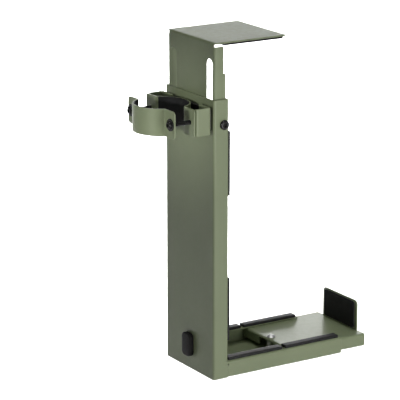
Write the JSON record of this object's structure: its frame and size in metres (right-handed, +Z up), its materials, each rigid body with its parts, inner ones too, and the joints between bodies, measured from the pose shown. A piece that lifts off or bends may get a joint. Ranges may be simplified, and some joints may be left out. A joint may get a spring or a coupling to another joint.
{
  "type": "computer holder",
  "caption": "Steel under-desk computer holder: a lipped L-frame with a height slider, a width slider and a screw clamp for a round desk leg.",
  "frame": {"origin": "on the desk leg's axis, half way up the leg clamp", "axes": "+Z up along the leg; +X from the leg towards the computer; +Y to the rear, so the front edge is on the -Y side"},
  "size_m": [0.3285, 0.1274, 0.4654],
  "materials": {
    "powder_coat": "matt reed-green powder coat",
    "strip_rubber": "matt black rubber",
    "liner_rubber": "thin matt black rubber sheet",
    "pad_foam": "dark grey closed-cell foam rubber",
    "black_plastic": "matt black moulded plastic",
    "black_steel": "black oxide",
    "zinc_steel": "bright zinc plate"
  },
  "bodies": {
    "frame": {"upright_channel": "powder_coat", "base_channel": "powder_coat", "base_strip_front_inner": "strip_rubber", "base_strip_front_outer": "strip_rubber", "base_strip_rear_inner": "strip_rubber", "base_strip_rear_outer": "strip_rubber", "column_strip_front_lower": "strip_rubber", "column_strip_front_upper": "strip_rubber", "column_strip_rear_lower": "strip_rubber", "column_strip_rear_upper": "strip_rubber", "leg_bumper": "strip_rubber", "clamp_bracket": "powder_coat", "bracket_spacer": "black_plastic", "bracket_liner": "liner_rubber", "bracket_screws": "zinc_steel", "bracket_nuts": "zinc_steel", "clamp_nuts": "black_steel"},
    "height_slider": {"upper_slider": "powder_coat", "top_pad": "pad_foam"},
    "front_height_screw": {"height_screw_front": "black_steel"},
    "rear_height_screw": {"height_screw_rear": "black_steel"},
    "width_slider": {"sliding_tray": "powder_coat", "end_stop_pad": "pad_foam", "tray_bolt": "zinc_steel", "tray_bush": "zinc_steel"},
    "nut_washer": {"tray_washer": "zinc_steel"},
    "wing_nut": {"tray_wing_nut": "zinc_steel"},
    "strap": {"clamp_strap": "powder_coat", "strap_liner": "liner_rubber", "strap_washers": "black_steel"},
    "front_clamp_screw": {"clamp_screw_front": "black_steel"},
    "rear_clamp_screw": {"clamp_screw_rear": "black_steel"}
  },
  "joints": [
    {"name": "height_slide", "type": "slide", "parent": "frame", "child": "height_slider", "axis": [0, 0, 1], "range_m": [-0.066, 0.1]},
    {"name": "width_slide", "type": "slide", "parent": "frame", "child": "width_slider", "axis": [1, 0, 0], "range_m": [-0.105, 0.025]},
    {"name": "height_screw_front_turn", "type": "hinge", "parent": "frame", "child": "front_height_screw", "pos_m": [0.058, -0.0603, -0.007], "axis": [0, -1, 0], "range_deg": [0, 1080]},
    {"name": "height_screw_rear_turn", "type": "hinge", "parent": "frame", "child": "rear_height_screw", "pos_m": [0.058, 0.0603, -0.007], "axis": [0, 1, 0], "range_deg": [0, 1080]},
    {"name": "tray_washer_drop", "type": "slide", "parent": "width_slider", "child": "nut_washer", "axis": [0, 0, -1], "range_m": [0, 0.002]},
    {"name": "tray_nut_turn", "type": "hinge", "parent": "nut_washer", "child": "wing_nut", "pos_m": [0.1735, 0, -0.3547], "axis": [0, 0, -1], "range_deg": [0, 720]},
    {"name": "strap_slide", "type": "slide", "parent": "frame", "child": "strap", "axis": [-1, 0, 0], "range_m": [0, 0.006]},
    {"name": "clamp_screw_front_turn", "type": "hinge", "parent": "strap", "child": "front_clamp_screw", "pos_m": [-0.0175, -0.0495, 0], "axis": [-1, 0, 0], "range_deg": [0, 2160]},
    {"name": "clamp_screw_rear_turn", "type": "hinge", "parent": "strap", "child": "rear_clamp_screw", "pos_m": [-0.0175, 0.0495, 0], "axis": [-1, 0, 0], "range_deg": [0, 2160]}
  ],
  "couplings": [
    {"joint": "clamp_screw_front_turn", "follows": "strap_slide", "rad_per_m": 6283.2},
    {"joint": "clamp_screw_rear_turn", "follows": "strap_slide", "rad_per_m": 6283.2},
    {"joint": "tray_washer_drop", "follows": "tray_nut_turn", "m_per_rad": 0.00015915}
  ]
}
